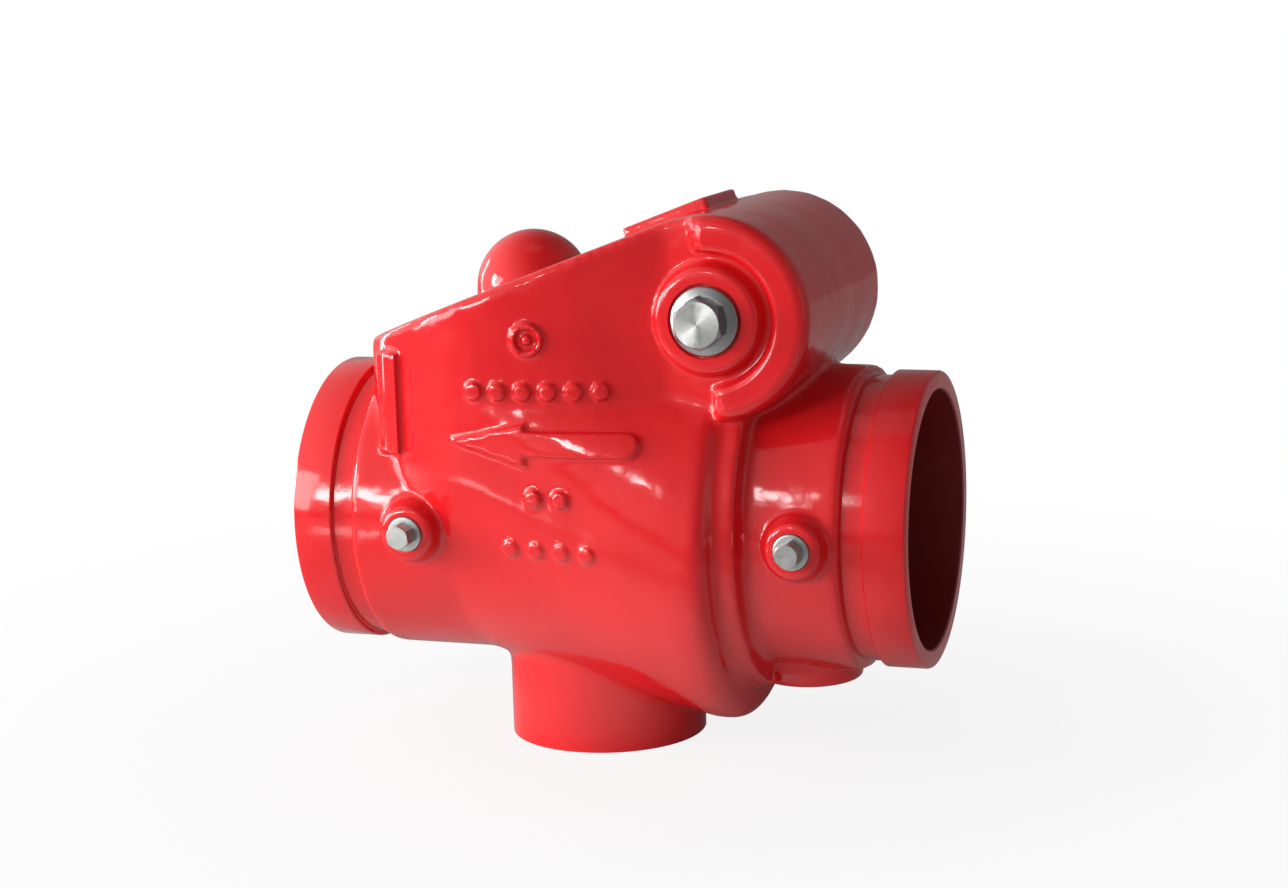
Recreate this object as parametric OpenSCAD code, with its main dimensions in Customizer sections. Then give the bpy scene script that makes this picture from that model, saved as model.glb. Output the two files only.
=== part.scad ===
// Grooved-end swing non-return valve: a cast body with a clapper that hangs from a shaft
// and closes on a seat ring. The origin is the centre of the inlet face, +X points out of
// the inlet, the water runs towards -X, and +Z is up. Values measured along the pipe are
// distances from the inlet face. All sizes are in millimetres.

/* [Overall] */
// Length over the two pipe ends
face_to_face = 244.5; // [240:0.5:320]
// Height of the pipe axis above the underside of the drain boss
axis_height = 90.8; // [86:0.1:115]

/* [Pipe ends] */
// Outside diameter of the pipe ends
pipe_d = 114.3; // [110:0.1:138]
// Diameter of the waterway
bore_d = 100; // [83:0.5:103]
// Length of the gasket seat between each end and its groove
gasket_seat = 16; // [14:0.1:18]
// Width of the coupling groove
groove_w = 8.7; // [7:0.1:10]
// Depth of the coupling groove
groove_depth = 2.1; // [1.5:0.1:2.6]
// Bevel on the outer edge of each end
end_bevel = 1; // [0.5:0.1:1.5]
// How far the inlet barrel stands above the gasket seat
inlet_barrel_step = 1.5; // [0.5:0.1:3]
// How far the outlet barrel stands above the gasket seat
outlet_barrel_step = 1; // [0.2:0.1:3]

/* [Chamber] */
// Wall of the chamber
wall = 6.5; // [5:0.5:8]
// Distance from the inlet to the chamber's end face
chamber_x = 70; // [68:0.5:72]
// Radius of the round of the chamber about the seat
seat_bulge_r = 75; // [72:0.5:85]
// How far the centre of that round lies below the pipe axis
seat_bulge_drop = 6; // [4:0.5:9]
// Half width of the chamber beside the hinge
shoulder_half = 50; // [49:0.5:52]
// Radius of the chamber's nose, seen from above
nose_r = 67; // [66:0.5:80]
// Length over which the hood's sides draw in, from the middle of the nose towards the hinge
cheek_len = 97; // [90:1:110]
// Height of the nose's lower edge above the pipe axis
nose_foot_z = 28; // [20:0.5:34]
// Slope of the roof in degrees
roof_slope = 20.5; // [19:0.5:23]
// How far the roof stands above the hinge barrel
roof_rise = 0.8; // [0:0.1:3]
// Distance from the inlet to the place where the chamber meets the outlet barrel
chamber_tail_x = 177; // [170:1:186]
// How far the collar between the chamber and the inlet barrel stands above the pipe's outside
collar_rise = 9.85; // [8.85:0.05:12.85]
// Length of that collar
collar_len = 9; // [6:0.5:10]

/* [Hinge] */
// Distance from the inlet to the hinge axis
hinge_x = 73.5; // [70:0.5:75]
// Height of the hinge axis above the pipe axis
hinge_z = 83; // [82:0.5:100]
// Angle to which the clapper opens
open_angle = 70; // [60:1:72]
// Outside radius of the hinge barrel
hinge_barrel_r = 38.5; // [37:0.5:44]
// Half length of the hinge barrel
hinge_barrel_half = 57; // [56:0.5:62]
// Diameter of the hinge shaft
shaft_d = 12; // [10:0.5:12.5]
// Radial clearance of what turns on the shaft
running_gap = 0.05; // [0.03:0.01:0.08]
// Outside diameter of the shaft bushings
bushing_d = 18; // [16:0.5:18]
// Length of the shaft bushings
bushing_len = 12; // [10:0.5:12.5]
// Half distance between the inner shaft bosses
boss_gap_half = 36; // [35.5:0.5:38]
// Thickness of the thrust washers
thrust_washer_t = 3.4; // [2:0.1:3.6]

/* [Seat] */
// Distance from the inlet to the seat rim
seat_x = 80; // [79.5:0.5:82]
// Clear diameter of the seat ring
seat_d = 92; // [80:0.5:93]
// Outside diameter of the seat ring
seat_ring_d = 112; // [110:0.5:113]
// Height of the seat ring
seat_ring_h = 16; // [14:0.5:18]
// How far the rim stands out of the chamber's end wall
rim_stand = 3; // [2:0.5:4]
// Width of the rim that seals
rim_w = 5; // [4:0.5:6]
// Section diameter of the ring seal round the seat ring
seat_o_ring_d = 3; // [2:0.1:3.5]

/* [Clapper] */
// Radius of the clapper disc
disc_r = 55; // [54.5:0.5:56]
// Thickness of the clapper disc
disc_t = 11; // [10:0.5:12]
// Outside radius of the rubber seal
seal_r = 51.5; // [51.5:0.1:52]
// Thickness of the rubber under the rim
seal_t = 5.9; // [5:0.1:6.5]
// Thickness of the seal's inner flange
seal_flange_t = 3; // [2:0.1:3.5]
// Gap between the seal and the seat rim
seat_gap = 0.1; // [0.05:0.05:0.2]
// Radius of the plate that holds the seal
retainer_r = 36; // [34:0.5:37]
// Thickness of that plate
retainer_t = 3; // [2.5:0.1:3.5]
// Thickness of the backing ring behind the seal
backing_t = 1.5; // [1:0.1:2]
// Radius of the clapper's pilot, on which the seal is centred
pilot_r = 20; // [18:0.5:22]
// Radius of the hinge lugs
lug_r = 13; // [12:0.5:14]
// Width of each hinge lug
lug_w = 16; // [14:0.5:17]
// Diameter of the clapper bolt
clapper_bolt_d = 10; // [8:1:11]
// Width across flats of its head and nut
clapper_bolt_af = 17; // [16:0.5:18]

/* [Spring] */
// Wire diameter of the torsion spring
wire_d = 2.8; // [2:0.1:3]
// Mean radius of its coil
coil_r = 10.2; // [9.6:0.1:11]
// Pitch of its coil
coil_pitch = 3.4; // [3.1:0.1:3.6]

/* [Ports and plugs] */
// Distance from the inlet to the drain's axis
drain_x = 135.5; // [128:0.5:140]
// Outside diameter of the drain boss
drain_boss_d = 77.8; // [74:0.2:80]
// Minor diameter of the drain thread
drain_thread_d = 57; // [50:0.5:60]
// Depth of the drain thread
drain_thread_len = 16; // [14:0.5:18]
// Diameter of the passage above the drain thread
drain_passage_d = 50; // [40:1:54]
// Distance from the inlet to the inlet port
inlet_port_x = 40; // [38:0.5:44]
// Distance from the outlet to the outlet port
outlet_port_x = 51.5; // [45:0.5:54]
// How far the port faces stand above the pipe's outside
port_stand = 8.85; // [6.85:0.05:14.85]
// Outside diameter of the port bosses
port_boss_d = 22; // [20:0.5:28]
// Diameter of the port thread
port_thread_d = 13; // [10:0.1:14]
// Width across flats of the port plugs
port_plug_af = 8.5; // [7:0.5:12]
// Diameter of the shaft plug's thread
shaft_plug_d = 21; // [20:0.5:22]
// Width across flats of the shaft plug
shaft_plug_af = 19; // [18:0.5:21]
// Distance from the inlet to the blank boss under the inlet barrel
blank_boss_x = 51.5; // [48:0.5:54]
// How far the blank boss's face stands below the pipe's outside
blank_boss_stand = 7.3; // [6:0.05:22.85]

/* [Hidden] */

$fn = 96;
cast_red = [0.83, 0.11, 0.12];
steel = [0.72, 0.72, 0.70];
bronze = [0.72, 0.52, 0.26];
rubber_black = [0.08, 0.08, 0.08];
cut = 0.5;            // how far a cutting shape runs past the face it cuts
far = 400;            // longer than the whole valve
hull_fn = 40;         // sides of the round shapes that the chamber is drawn over
body_gap = 0.3;       // gap between a moving piece and its still neighbour

pipe_r = pipe_d / 2;
bore_r = bore_d / 2;
collar_r = pipe_r + collar_rise;
port_face_y = pipe_r + port_stand;
blank_boss_z = pipe_r + blank_boss_stand;
blank_boss_r = 21;
inlet_barrel_r = pipe_r + inlet_barrel_step;
outlet_barrel_r = pipe_r + outlet_barrel_step;
groove_end = gasket_seat + groove_w;
barrel_edge = 2.5;    // rounding where a barrel meets its groove

// Chamber
chamber_in_x = chamber_x + wall + 0.5;
bulge_len = 18;
bulge_edge = 8.5;
tail_len = 1;
shoulder_len = 16;
shoulder_foot_z = nose_foot_z;
belly_top_z = 52;

// Seat ring
seat_r = seat_d / 2;
seat_ring_r = seat_ring_d / 2;
seat_ring_back = seat_x - seat_ring_h;
rim_r = seat_r + rim_w;
o_ring_depth = seat_o_ring_d * 0.8;

// The clapper's stack of pieces, as distances from the inlet face
seal_face = seat_x + seat_gap;
seal_back = seal_face + seal_t;
flange_face = seal_back - seal_flange_t;
retainer_face = flange_face - retainer_t;
washer_t = 2;
washer_face = retainer_face - washer_t;
bolt_head_h = 6.4;
bolt_head_face = washer_face - bolt_head_h;
backing_back = seal_back + backing_t;
disc_lip = backing_back - 3.5;
disc_back = disc_lip + disc_t;
boss_h = 6;
boss_r = 13;
boss_back = disc_back + boss_h;
lock_washer_t = 2;
nut_h = 8;
nut_face = boss_back + lock_washer_t;
bolt_end = nut_face + nut_h + 2;
clapper_bolt_r = clapper_bolt_d / 2;
seal_inner_rim_r = retainer_r + 0.3;
recess_r = seal_r + 0.3;
bolt_seal_d = 2.9;
retainer_hole_r = clapper_bolt_r + bolt_seal_d + 0.2;

// Hinge
shaft_r = shaft_d / 2;
bushing_r = bushing_d / 2;
boss_in_r = bushing_r + 6;
thrust_washer_r = shaft_r + 4.5;
hinge_floor_z = seat_ring_r + 6;
shoulder_in = shoulder_half - wall;
lug_outer = boss_gap_half - thrust_washer_t - 2 * body_gap;
lug_inner = lug_outer - lug_w;
front_face_y = hinge_barrel_half + 1;
plug_hole_end = boss_gap_half + bushing_len + 0.7;
shaft_front = plug_hole_end - 0.3;
shaft_rear = boss_gap_half + bushing_len + 1.5;
rear_hole_end = shaft_rear + 0.5;
ring_inner_r = 27.5;
plug_boss_r = 20.5;
face_recess = 6;
plug_flange_r = shaft_plug_d / 2 + 3;
plug_flange_t = 2;
plug_hex_h = 8;
plug_washer_t = 1.9;
plug_washer_r = shaft_plug_d / 2 + 2.4;

// The open clapper sets the places of the nose and of the dome that takes the bolt
disc_mid = (disc_lip + disc_back) / 2;
nut_mid = nut_face + nut_h / 2;
nose_room = 2.5;
nose_x = hinge_x + hinge_z * sin(open_angle) + (disc_mid - hinge_x) * cos(open_angle) + nose_room;
dome_r = 22.5;
dome_x = hinge_x + hinge_z * sin(open_angle) + (nut_mid - hinge_x) * cos(open_angle) - 1;
dome_z = hinge_z - hinge_z * cos(open_angle) + (nut_mid - hinge_x) * sin(open_angle) + 2;

// Height of the roof's outer face at a distance from the inlet face
roof_up = hinge_barrel_r + roof_rise;
shoulder_x = hinge_x + roof_up * sin(roof_slope);
function roof_z(x) = hinge_z + roof_up / cos(roof_slope) - (x - hinge_x) * tan(roof_slope);

// Moves a shape drawn about the Z axis onto the pipe axis: its heights become positions in X
module on_pipe_axis() {
  rotate([0, 90, 0]) children();
}

// Solid of revolution about the pipe axis from points [radius, distance from the inlet]
module turned(points) {
  on_pipe_axis() rotate_extrude() polygon([for (p = points) [p[0], -p[1]]]);
}

// Cylinder about the pipe axis between two distances from the inlet
module pipe_cyl(r, from, to) {
  translate([-to, 0, 0]) on_pipe_axis() cylinder(r = r, h = to - from);
}

// Cylinder along Y at a place in the XZ plane
module cross_cyl(r, x, z, from_y, to_y) {
  translate([-x, to_y, z]) rotate([90, 0, 0]) cylinder(r = r, h = to_y - from_y);
}

// Cylinder along Z with a rounded edge at its lower and upper end, drawn up from Z = 0
module rounded_disc(r, h, edge) {
  rotate_extrude() {
    square([r - edge, h]);
    translate([0, edge]) square([r, h - 2 * edge]);
    translate([r - edge, edge]) circle(r = edge);
    translate([r - edge, h - edge]) circle(r = edge);
  }
}

// Hexagonal prism along -Y from a face, with two flats facing along X and that far apart
module hex_head(af, h, x, z, face_y) {
  translate([-x, -face_y, z]) rotate([90, 0, 0]) rotate([0, 0, 30]) cylinder(d = af / cos(30), h = h, $fn = 6);
}

// Everything above the roof plane, lowered by a depth
module above_roof(depth) {
  translate([-hinge_x, 0, hinge_z]) rotate([0, -roof_slope, 0])
    translate([-far, -far, roof_up - depth]) cube(2 * far);
}

// One pipe end with its groove, from the face inwards
module pipe_end(barrel_r, inner_end) {
  difference() {
    turned([
      [0, 0], [pipe_r - end_bevel, 0], [pipe_r, end_bevel], [pipe_r, gasket_seat],
      [pipe_r - groove_depth, gasket_seat], [pipe_r - groove_depth, groove_end],
      [barrel_r - barrel_edge, groove_end], [barrel_r, groove_end + barrel_edge],
      [barrel_r, inner_end], [0, inner_end]
    ]);
    pipe_cyl(bore_r, -cut, inner_end + cut);
  }
}

// The chamber's outer form, grown outwards or shrunk to its hollow by a distance: a hood over
// the open clapper, and a belly that runs from the seat to the outlet barrel
module chamber(grow) {
  start = grow < -1 ? chamber_in_x : chamber_x - grow;
  edge = bulge_edge + min(grow, 0) / 2;
  tail_r = grow < -1 ? bore_r : outlet_barrel_r + grow;
  difference() {
    hull() {
      nose_column(grow, far / 4);
      cheeks(grow, far / 4);
      translate([-shoulder_x - shoulder_len, -shoulder_half - grow, shoulder_foot_z])
        cube([shoulder_len, 2 * (shoulder_half + grow), far / 4]);
    }
    above_roof(-grow);
  }
  hull() {
    translate([-start - bulge_len, 0, -seat_bulge_drop]) on_pipe_axis()
      rounded_disc(seat_bulge_r + grow, bulge_len, edge, $fn = hull_fn);
    nose_column(grow, belly_top_z - nose_foot_z);
    translate([-chamber_tail_x, 0, 0]) on_pipe_axis()
      cylinder(r = tail_r, h = tail_len, $fn = 2 * hull_fn);
  }
}

// The round of the nose, seen from above, up from its foot
module nose_column(grow, h) {
  translate([-nose_x, 0, nose_foot_z]) cylinder(r = nose_r + grow, h = h, $fn = 2 * hull_fn);
}

// The half ellipse along which the hood's sides draw in from the nose, as far as the shoulders
module cheeks(grow, h) {
  translate([-nose_x, 0, nose_foot_z]) difference() {
    scale([(cheek_len + grow) / (nose_r + grow), 1, 1])
      cylinder(r = nose_r + grow, h = h, $fn = 2 * hull_fn);
    translate([-far, -far / 2, -cut]) cube([far, far, h + 2 * cut]);
    translate([nose_x - shoulder_x, -far / 2, -cut]) cube([far, far, h + 2 * cut]);
  }
}

// Flow arrow, flat in the plane of X and Z, with its tip towards the outlet
module arrow_outline() {
  head_x = -141.5;
  tail_x = -101.6;
  polygon([
    [-171.5, 37.2], [head_x, 44.6], [head_x, 41.8], [tail_x, 41.8],
    [tail_x, 33], [head_x, 33], [head_x, 28.8]
  ]);
  translate([tail_x, 37.4]) circle(r = 4.4);
}

// Raised marks on the front wall: the flow arrow, and a pad on the nose
module raised_marks() {
  mark_rise = 1.8;
  intersection() {
    chamber(mark_rise);
    translate([0, -shoulder_half, 0]) rotate([90, 0, 0]) linear_extrude(far / 4) arrow_outline();
  }
  pad_right = 4;
  pad_left = 9;
  pad_stand = 4;
  pad_foot = 29;
  pad_h = 39.5;
  pad_turn = 53;
  difference() {
    translate([-nose_x, 0, 0]) rotate([0, 0, pad_turn]) translate([-nose_r - pad_stand, -pad_right, pad_foot])
      cube([pad_stand + 4.5, pad_right + pad_left, pad_h]);
    above_roof(3);
  }
}

// Hinge barrel, with a raised half ring on its front face and a boss for the shaft plug
module hinge_barrel() {
  floor_y = hinge_barrel_half - face_recess;
  rear_edge = 5;
  translate([-hinge_x, -floor_y, hinge_z]) rotate([-90, 0, 0])
    rounded_disc(hinge_barrel_r, floor_y + hinge_barrel_half, rear_edge);
  difference() {
    cross_cyl(hinge_barrel_r, hinge_x, hinge_z, -hinge_barrel_half, -floor_y + rear_edge);
    cross_cyl(ring_inner_r, hinge_x, hinge_z, -hinge_barrel_half - cut, -floor_y);
    translate([-hinge_x - far, -hinge_barrel_half - cut, hinge_z - far / 2])
      cube([far - 2, face_recess + cut, far]);
  }
  cross_cyl(plug_boss_r, hinge_x, hinge_z, -front_face_y, -floor_y);
}

// Raised rectangular pad on the roof beside the hinge barrel
module roof_pad() {
  pad_len = 35.5;
  pad_past = 4.5;
  pad_half = 20;
  pad_rise = 4;
  translate([-hinge_x, 0, hinge_z]) rotate([0, -roof_slope, 0])
    translate([pad_past - pad_len, -pad_half, roof_up - wall]) cube([pad_len, 2 * pad_half, wall + pad_rise]);
}

module dome() {
  translate([-dome_x, 0, dome_z]) sphere(r = dome_r);
  translate([-dome_x, 0, dome_z - dome_r]) cylinder(r = dome_r, h = dome_r);
}

module port_boss(x, barrel_r) {
  cross_cyl(port_boss_d / 2, x, 0, -port_face_y, -bore_r - 2);
  translate([-x, -port_face_y + 3, 0]) rotate([-90, 0, 0])
    cylinder(r1 = port_boss_d / 2, r2 = port_boss_d / 2 + 3.5, h = port_face_y - 3 - barrel_r + 4);
}

// Room for the clapper's lugs inside the hinge barrel, above the seat ring's pocket, and for
// its arms between there and the belly
module hinge_hollow() {
  difference() {
    cross_cyl(roof_up - wall, hinge_x, hinge_z, -shoulder_in, shoulder_in);
    translate([-far, -far, hinge_floor_z - far]) cube([2 * far, 2 * far, far]);
  }
  translate([-shoulder_x - cut, -shoulder_in, shoulder_foot_z])
    cube([shoulder_x + cut - chamber_in_x, 2 * shoulder_in, hinge_z - shoulder_foot_z]);
}

module valve_body() {
  outlet_port = face_to_face - outlet_port_x;
  color(cast_red) difference() {
    union() {
      difference() {
        union() {
          pipe_end(inlet_barrel_r, chamber_x + wall);
          translate([-face_to_face, 0, 0]) mirror([1, 0, 0])
            pipe_end(outlet_barrel_r, face_to_face - nose_x);
          pipe_cyl(collar_r, chamber_x - collar_len, chamber_in_x);
          chamber(0);
          hinge_barrel();
          roof_pad();
          dome();
          raised_marks();
          port_boss(inlet_port_x, inlet_barrel_r);
          port_boss(outlet_port, outlet_barrel_r);
          translate([-drain_x, 0, -axis_height])
            rounded_disc(drain_boss_d / 2, axis_height - bore_r, 2);
          translate([-blank_boss_x, 0, -blank_boss_z]) rounded_disc(blank_boss_r, blank_boss_z - bore_r, 3);
        }
        chamber(-wall);
        pipe_cyl(bore_r, nose_x, face_to_face + cut);
        pipe_cyl(bore_r, -cut, seat_ring_back + cut);
        hinge_hollow();
        translate([-dome_x, 0, dome_z]) sphere(r = dome_r - wall + 0.5);
        translate([-dome_x, 0, dome_z - dome_r]) cylinder(r = dome_r - wall + 0.5, h = dome_r);
      }
      cross_cyl(boss_in_r, hinge_x, hinge_z, -hinge_barrel_half, -boss_gap_half);
      cross_cyl(boss_in_r, hinge_x, hinge_z, boss_gap_half, hinge_barrel_half - face_recess);
    }
    pipe_cyl(seat_ring_r, seat_ring_back, chamber_in_x + cut);
    cross_cyl(shaft_plug_d / 2, hinge_x, hinge_z, -front_face_y - cut, -plug_hole_end);
    cross_cyl(plug_washer_r + 0.1, hinge_x, hinge_z, -front_face_y - cut, -front_face_y + plug_washer_t);
    cross_cyl(bushing_r, hinge_x, hinge_z, -plug_hole_end - cut, -boss_gap_half + cut);
    cross_cyl(bushing_r, hinge_x, hinge_z, boss_gap_half - cut, rear_hole_end);
    cross_cyl(port_thread_d / 2, inlet_port_x, 0, -port_face_y - cut, -bore_r + 3);
    cross_cyl(port_thread_d / 2, outlet_port, 0, -port_face_y - cut, -bore_r + 3);
    translate([-drain_x, 0, -axis_height - cut]) cylinder(d = drain_thread_d, h = drain_thread_len + cut);
    translate([-drain_x, 0, -axis_height]) cylinder(d = drain_passage_d, h = axis_height - 30);
  }
}

module seat_ring() {
  lead_in = 3;
  groove_mid = (seat_ring_back + chamber_in_x) / 2;
  half = seat_o_ring_d * 0.6;
  color(bronze) turned([
    [bore_r - 0.5, seat_ring_back], [seat_ring_r, seat_ring_back],
    [seat_ring_r, groove_mid - half], [seat_ring_r - o_ring_depth, groove_mid - half],
    [seat_ring_r - o_ring_depth, groove_mid + half], [seat_ring_r, groove_mid + half],
    [seat_ring_r, seat_x - rim_stand], [rim_r, seat_x - rim_stand], [rim_r, seat_x],
    [seat_r, seat_x], [seat_r, seat_ring_back + lead_in]
  ]);
}

// Rubber ring about the pipe axis, round in section
module o_ring(middle_r, section_r, x) {
  translate([-x, 0, 0]) on_pipe_axis()
    rotate_extrude() translate([middle_r, 0]) circle(r = section_r, $fn = 32);
}

module seat_ring_o_ring() {
  section_r = o_ring_depth / 2;
  color(rubber_black) o_ring(seat_ring_r - section_r, section_r, (seat_ring_back + chamber_in_x) / 2);
}

// One arm of the clapper, flat in the plane of X and Z
module arm_outline() {
  back = disc_back + 2;
  polygon([
    [-hinge_x, hinge_z - lug_r], [-disc_lip, hinge_z - lug_r - 9], [-disc_lip, 30],
    [-disc_back, 4], [-back, 30], [-back, hinge_z - lug_r - 7], [-hinge_x - lug_r, hinge_z]
  ]);
}

module clapper() {
  color(steel) difference() {
    union() {
      turned([
        [0, flange_face], [pilot_r - 0.2, flange_face], [pilot_r - 0.2, backing_back],
        [recess_r, backing_back], [recess_r, disc_lip],
        [disc_r, disc_lip], [disc_r, disc_back - 2], [disc_r - 2, disc_back],
        [boss_r + 3, disc_back], [boss_r, boss_back], [0, boss_back]
      ]);
      for (side = [-1, 1]) {
        y = side > 0 ? lug_outer : -lug_inner;
        difference() {
          translate([0, y, 0]) rotate([90, 0, 0]) linear_extrude(lug_w) arm_outline();
          pipe_cyl(recess_r, disc_lip - cut, backing_back);
        }
        cross_cyl(lug_r, hinge_x, hinge_z, y - lug_w, y);
      }
    }
    cross_cyl(shaft_r + running_gap, hinge_x, hinge_z, -lug_outer - cut, lug_outer + cut);
    pipe_cyl(clapper_bolt_r, flange_face - cut, boss_back + cut);
  }
}

module clapper_seal() {
  color(rubber_black) turned([
    [pilot_r, flange_face], [seal_inner_rim_r, flange_face], [seal_inner_rim_r, seal_face + 1],
    [seal_inner_rim_r + 1, seal_face], [seal_r - 1, seal_face], [seal_r, seal_face + 1],
    [seal_r, seal_back], [pilot_r, seal_back]
  ]);
}

module seal_backing_ring() {
  color(steel) turned([
    [pilot_r, seal_back], [seal_r - 3, seal_back], [seal_r - 3, backing_back], [pilot_r, backing_back]
  ]);
}

module seal_retainer() {
  color(steel) turned([
    [retainer_hole_r, retainer_face], [retainer_r - 1, retainer_face], [retainer_r, retainer_face + 1],
    [retainer_r, flange_face], [retainer_hole_r, flange_face]
  ]);
}

module seal_washer() {
  color(steel) difference() {
    pipe_cyl(13, washer_face, retainer_face);
    pipe_cyl(clapper_bolt_r + 0.2, washer_face - cut, retainer_face + cut);
  }
}

module bolt_seal() {
  section_r = bolt_seal_d / 2;
  middle_r = clapper_bolt_r + section_r + 0.05;
  color(rubber_black) o_ring(middle_r, section_r, (retainer_face + flange_face) / 2);
}

module clapper_bolt() {
  color(steel) {
    translate([-washer_face, 0, 0]) on_pipe_axis()
      cylinder(d = clapper_bolt_af / cos(30), h = bolt_head_h, $fn = 6);
    pipe_cyl(clapper_bolt_r, bolt_head_face + 2, bolt_end);
  }
}

module lock_washer() {
  color(steel) difference() {
    pipe_cyl(clapper_bolt_r + 4, boss_back, nut_face);
    pipe_cyl(clapper_bolt_r, boss_back - cut, nut_face + cut);
  }
}

module bolt_nut() {
  color(steel) difference() {
    translate([-nut_face - nut_h, 0, 0]) on_pipe_axis()
      cylinder(d = clapper_bolt_af / cos(30), h = nut_h, $fn = 6);
    pipe_cyl(clapper_bolt_r, nut_face - cut, nut_face + nut_h + cut);
  }
}

module hinge_shaft() {
  color(steel) cross_cyl(shaft_r, hinge_x, hinge_z, -shaft_front, shaft_rear);
}

// Ring about the hinge axis between two places in Y
module hinge_ring(outer_r, inner_r, from_y, to_y) {
  difference() {
    cross_cyl(outer_r, hinge_x, hinge_z, from_y, to_y);
    cross_cyl(inner_r, hinge_x, hinge_z, from_y - cut, to_y + cut);
  }
}

module front_shaft_bushing() {
  color(bronze) hinge_ring(bushing_r, shaft_r, -boss_gap_half - bushing_len, -boss_gap_half);
}

module rear_shaft_bushing() {
  color(bronze) hinge_ring(bushing_r, shaft_r, boss_gap_half, boss_gap_half + bushing_len);
}

module front_thrust_washer() {
  inner_y = -lug_outer - body_gap;
  color(bronze) hinge_ring(thrust_washer_r, shaft_r, inner_y - thrust_washer_t, inner_y);
}

module rear_thrust_washer() {
  inner_y = lug_outer + body_gap;
  color(bronze) hinge_ring(thrust_washer_r, shaft_r, inner_y, inner_y + thrust_washer_t);
}

// Tube of a given radius along a list of points whose path never runs along Y
module wire(path, r, sides) {
  last = len(path) - 1;
  function along(i) = path[min(i + 1, last)] - path[max(i - 1, 0)];
  function unit(v) = v / norm(v);
  function ring(i) = let (t = unit(along(i)), u = unit(cross(t, [0, 1, 0])), v = cross(u, t))
    [for (k = [0 : sides - 1]) path[i] + r * (cos(360 * k / sides) * u + sin(360 * k / sides) * v)];
  points = [for (i = [0 : last]) each ring(i)];
  faces = [
    [for (k = [0 : sides - 1]) k],
    for (i = [0 : last - 1], k = [0 : sides - 1])
      [i * sides + k, (i + 1) * sides + k, (i + 1) * sides + (k + 1) % sides, i * sides + (k + 1) % sides],
    [for (k = [sides - 1 : -1 : 0]) last * sides + k]
  ];
  polyhedron(points = points, faces = faces);
}

// Torsion spring: one leg bears on the back of the clapper, the other on the roof
module torsion_spring() {
  turns = 6;
  wire_r = wire_d / 2;
  foot = [-disc_back - wire_r - seat_gap, disc_r + 4];
  roof_leg_x = 112;
  head = [-roof_leg_x, roof_z(roof_leg_x) - (wall + wire_r) / cos(roof_slope) - body_gap];
  centre = [-hinge_x, hinge_z];
  function bearing(p) = atan2(p[1] - centre[1], p[0] - centre[0]);
  function lean(p) = acos(coil_r / norm(p - centre));
  start = bearing(foot) + lean(foot);
  leave = bearing(head) - lean(head);
  end = leave + 360 * ceil((start - leave) / 360) + 360 * (turns - 1);
  steps = 22 * turns;
  half_len = coil_pitch * (end - start) / 720;
  function coil(i) = let (a = start + (end - start) * i / steps)
    [centre[0] + coil_r * cos(a), half_len * (2 * i / steps - 1), centre[1] + coil_r * sin(a)];
  path = [
    [foot[0], -half_len, 38], [foot[0], -half_len, foot[1]],
    for (i = [0 : steps]) coil(i),
    [head[0], half_len, head[1]], [head[0] - 8, half_len, head[1] - 8 * tan(roof_slope)]
  ];
  color(steel) wire(path, wire_r, 8);
}

module shaft_plug() {
  seat_y = front_face_y;
  color(steel) {
    cross_cyl(shaft_plug_d / 2, hinge_x, hinge_z, -seat_y - plug_flange_t, -plug_hole_end - 0.2);
    cross_cyl(plug_flange_r, hinge_x, hinge_z, -seat_y - plug_flange_t, -seat_y);
    intersection() {
      hex_head(shaft_plug_af, plug_hex_h, hinge_x, hinge_z, seat_y + plug_flange_t);
      translate([-hinge_x, -seat_y - plug_flange_t, hinge_z]) rotate([90, 0, 0])
        cylinder(r1 = shaft_plug_af / 2 + 8, r2 = shaft_plug_af / 2, h = plug_hex_h);
    }
  }
}

module shaft_plug_washer() {
  color(bronze) hinge_ring(plug_washer_r, shaft_plug_d / 2, -front_face_y, -front_face_y + plug_washer_t);
}

module port_plug(x) {
  flange_t = 1;
  hex_h = 6.5;
  thread_len = 12;
  color(steel) {
    cross_cyl(port_thread_d / 2, x, 0, -port_face_y - flange_t, -port_face_y + thread_len);
    cross_cyl(port_thread_d / 2 + 0.3, x, 0, -port_face_y - flange_t, -port_face_y);
    intersection() {
      hex_head(port_plug_af, hex_h, x, 0, port_face_y + flange_t);
      translate([-x, -port_face_y - flange_t, 0]) rotate([90, 0, 0])
        cylinder(r1 = port_plug_af / 2 + 6, r2 = port_plug_af / 2 - 0.3, h = hex_h);
    }
  }
}

module inlet_port_plug() {
  port_plug(inlet_port_x);
}

module outlet_port_plug() {
  port_plug(face_to_face - outlet_port_x);
}

valve_body();
seat_ring();
seat_ring_o_ring();
clapper();
clapper_seal();
seal_backing_ring();
seal_retainer();
seal_washer();
bolt_seal();
clapper_bolt();
lock_washer();
bolt_nut();
hinge_shaft();
front_shaft_bushing();
rear_shaft_bushing();
front_thrust_washer();
rear_thrust_washer();
torsion_spring();
shaft_plug();
shaft_plug_washer();
inlet_port_plug();
outlet_port_plug();
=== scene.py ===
import math

import bmesh
import bpy
from mathutils import Matrix, Vector


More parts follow.
